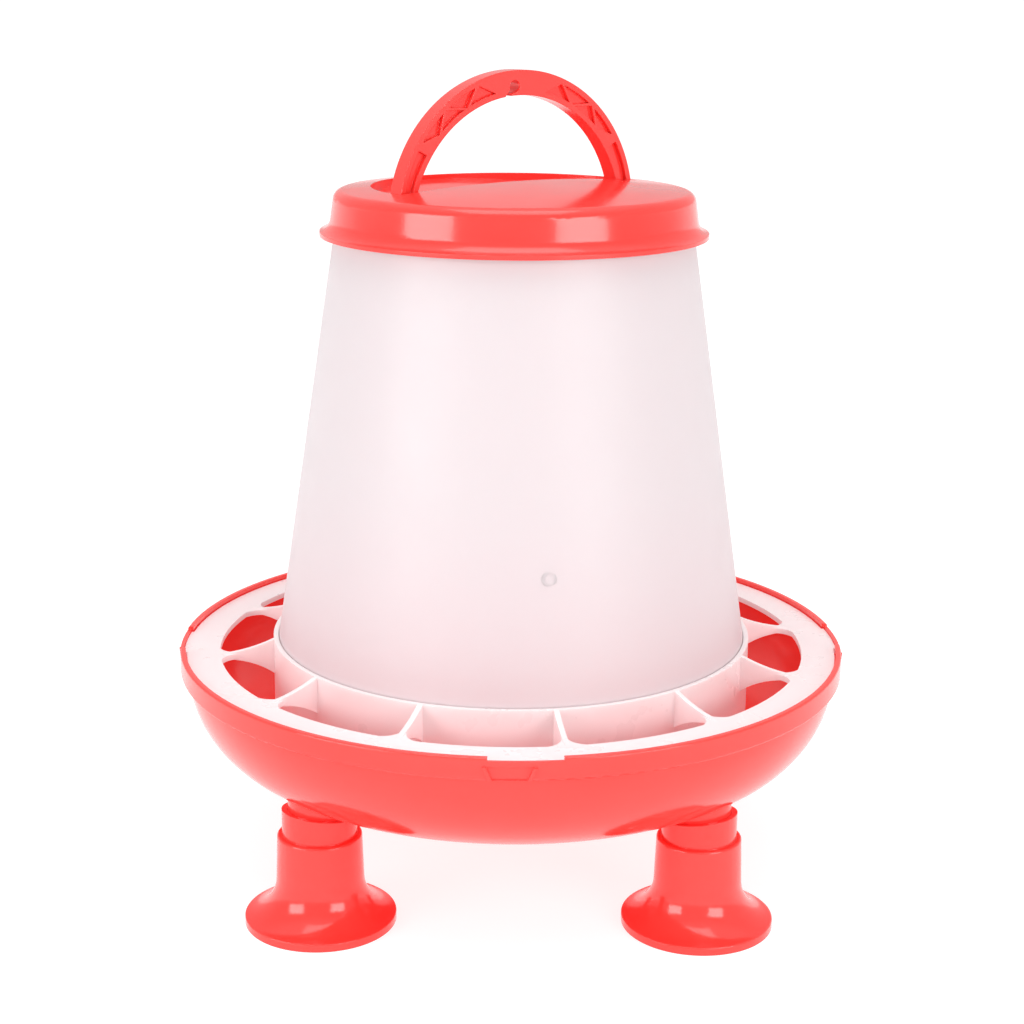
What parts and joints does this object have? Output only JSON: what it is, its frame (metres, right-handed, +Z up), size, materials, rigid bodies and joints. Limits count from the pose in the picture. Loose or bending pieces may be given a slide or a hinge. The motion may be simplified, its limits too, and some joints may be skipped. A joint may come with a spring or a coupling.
{
  "type": "poultry feeder",
  "caption": "Round poultry feeder: bowl on bell-shaped legs, finned feed ring, tapered hopper drum, lift-off lid and folding bail handle with a hanging hole.",
  "frame": {"origin": "on the ground at the centre of the pan, at the level of the feet", "axes": "+Z up along the drum's axis, -Y towards the front, +X to the right seen from the front"},
  "size_m": [0.2702, 0.2702, 0.3193],
  "materials": {
    "red_plastic": "glossy",
    "white_plastic": "satin, slightly translucent"
  },
  "bodies": {
    "base": {"pan": "red_plastic", "leg_front_right": "red_plastic", "leg_back_right": "red_plastic", "leg_back_left": "red_plastic", "leg_front_left": "red_plastic"},
    "grid": {"feed_grid": "white_plastic"},
    "drum": {"hopper_drum": "white_plastic"},
    "cover": {"lid": "red_plastic"},
    "bail": {"handle": "red_plastic"}
  },
  "joints": [
    {"name": "grid_twist", "type": "hinge", "parent": "base", "child": "grid", "pos_m": [0, 0, 0.0884], "axis": [0, 0, 1], "range_deg": [0, 12]},
    {"name": "drum_lift", "type": "slide", "parent": "grid", "child": "drum", "axis": [0, 0, 1], "range_m": [0, 0.06]},
    {"name": "lid_lift", "type": "slide", "parent": "drum", "child": "cover", "axis": [0, 0, 1], "range_m": [0, 0.06]},
    {"name": "handle_fold", "type": "hinge", "parent": "cover", "child": "bail", "pos_m": [0, 0, 0.2695], "axis": [-0.8192, -0.5736, 0], "range_deg": [0, 82]}
  ]
}
